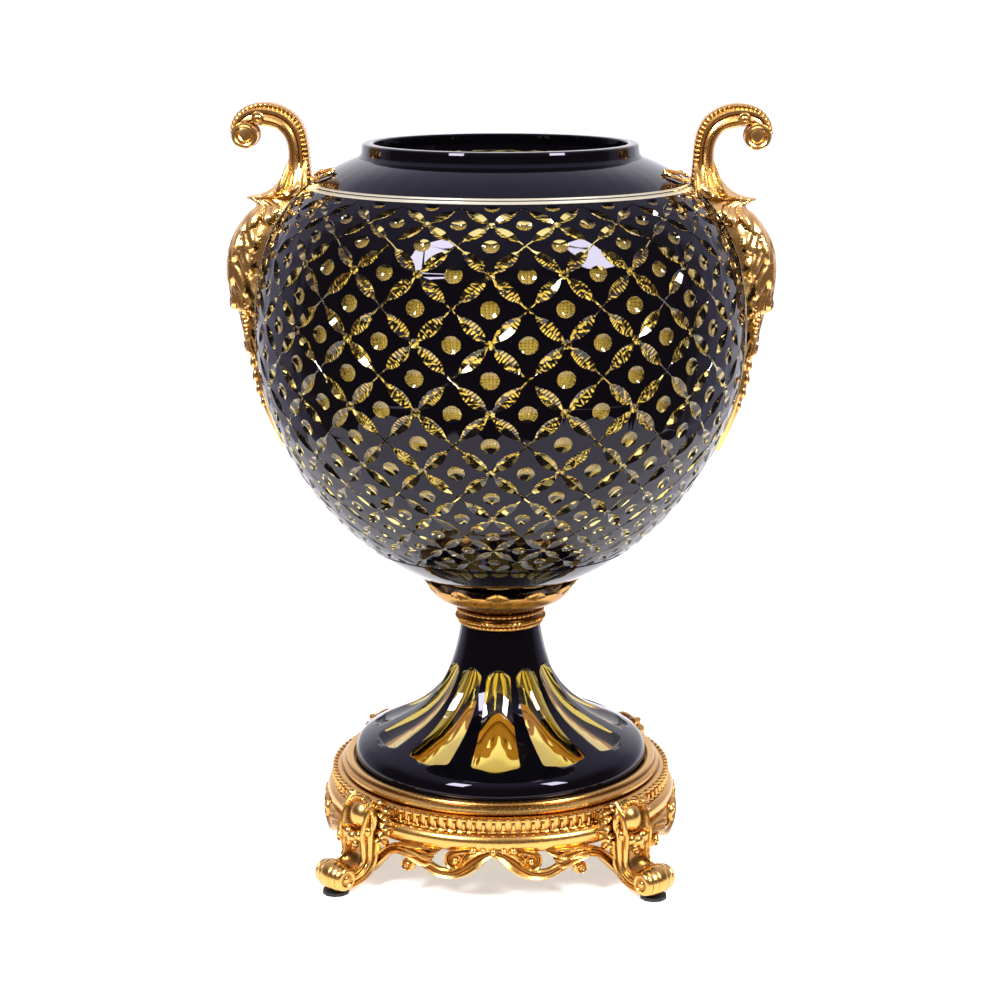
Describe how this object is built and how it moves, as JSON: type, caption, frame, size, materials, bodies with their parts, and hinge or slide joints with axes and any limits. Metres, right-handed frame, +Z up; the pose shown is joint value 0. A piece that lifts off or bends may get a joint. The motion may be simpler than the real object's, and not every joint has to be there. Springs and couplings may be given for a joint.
{
  "type": "crystal candy bowl",
  "caption": "Large open footed bowl in dark cut crystal with a leaf lattice, gilt scroll handles and a gilt footed stand.",
  "frame": {"origin": "on the floor under the bowl's axis", "axes": "+Z up along the bowl's axis, the handles along X, the front towards -Y"},
  "size_m": [0.289, 0.2552, 0.3991],
  "materials": {
    "cased_crystal": "black cased crystal, polished, cut through to pale amber",
    "foot_crystal": "black cased crystal, polished, with amber hollow cuts",
    "gilt_collar": "cast and gilded, bright",
    "gilt_stand": "cast and gilded, bright",
    "gilt_handles": "cast and gilded, bright, darker in the hollows",
    "black_pads": "matt"
  },
  "bodies": {
    "root": {"bowl": "cased_crystal", "foot": "foot_crystal", "collar": "gilt_collar", "handle_left": "gilt_handles", "handle_right": "gilt_handles", "stand": "gilt_stand", "pad_back_right": "black_pads", "pad_back_left": "black_pads", "pad_front_left": "black_pads", "pad_front_right": "black_pads"}
  },
  "joints": []
}
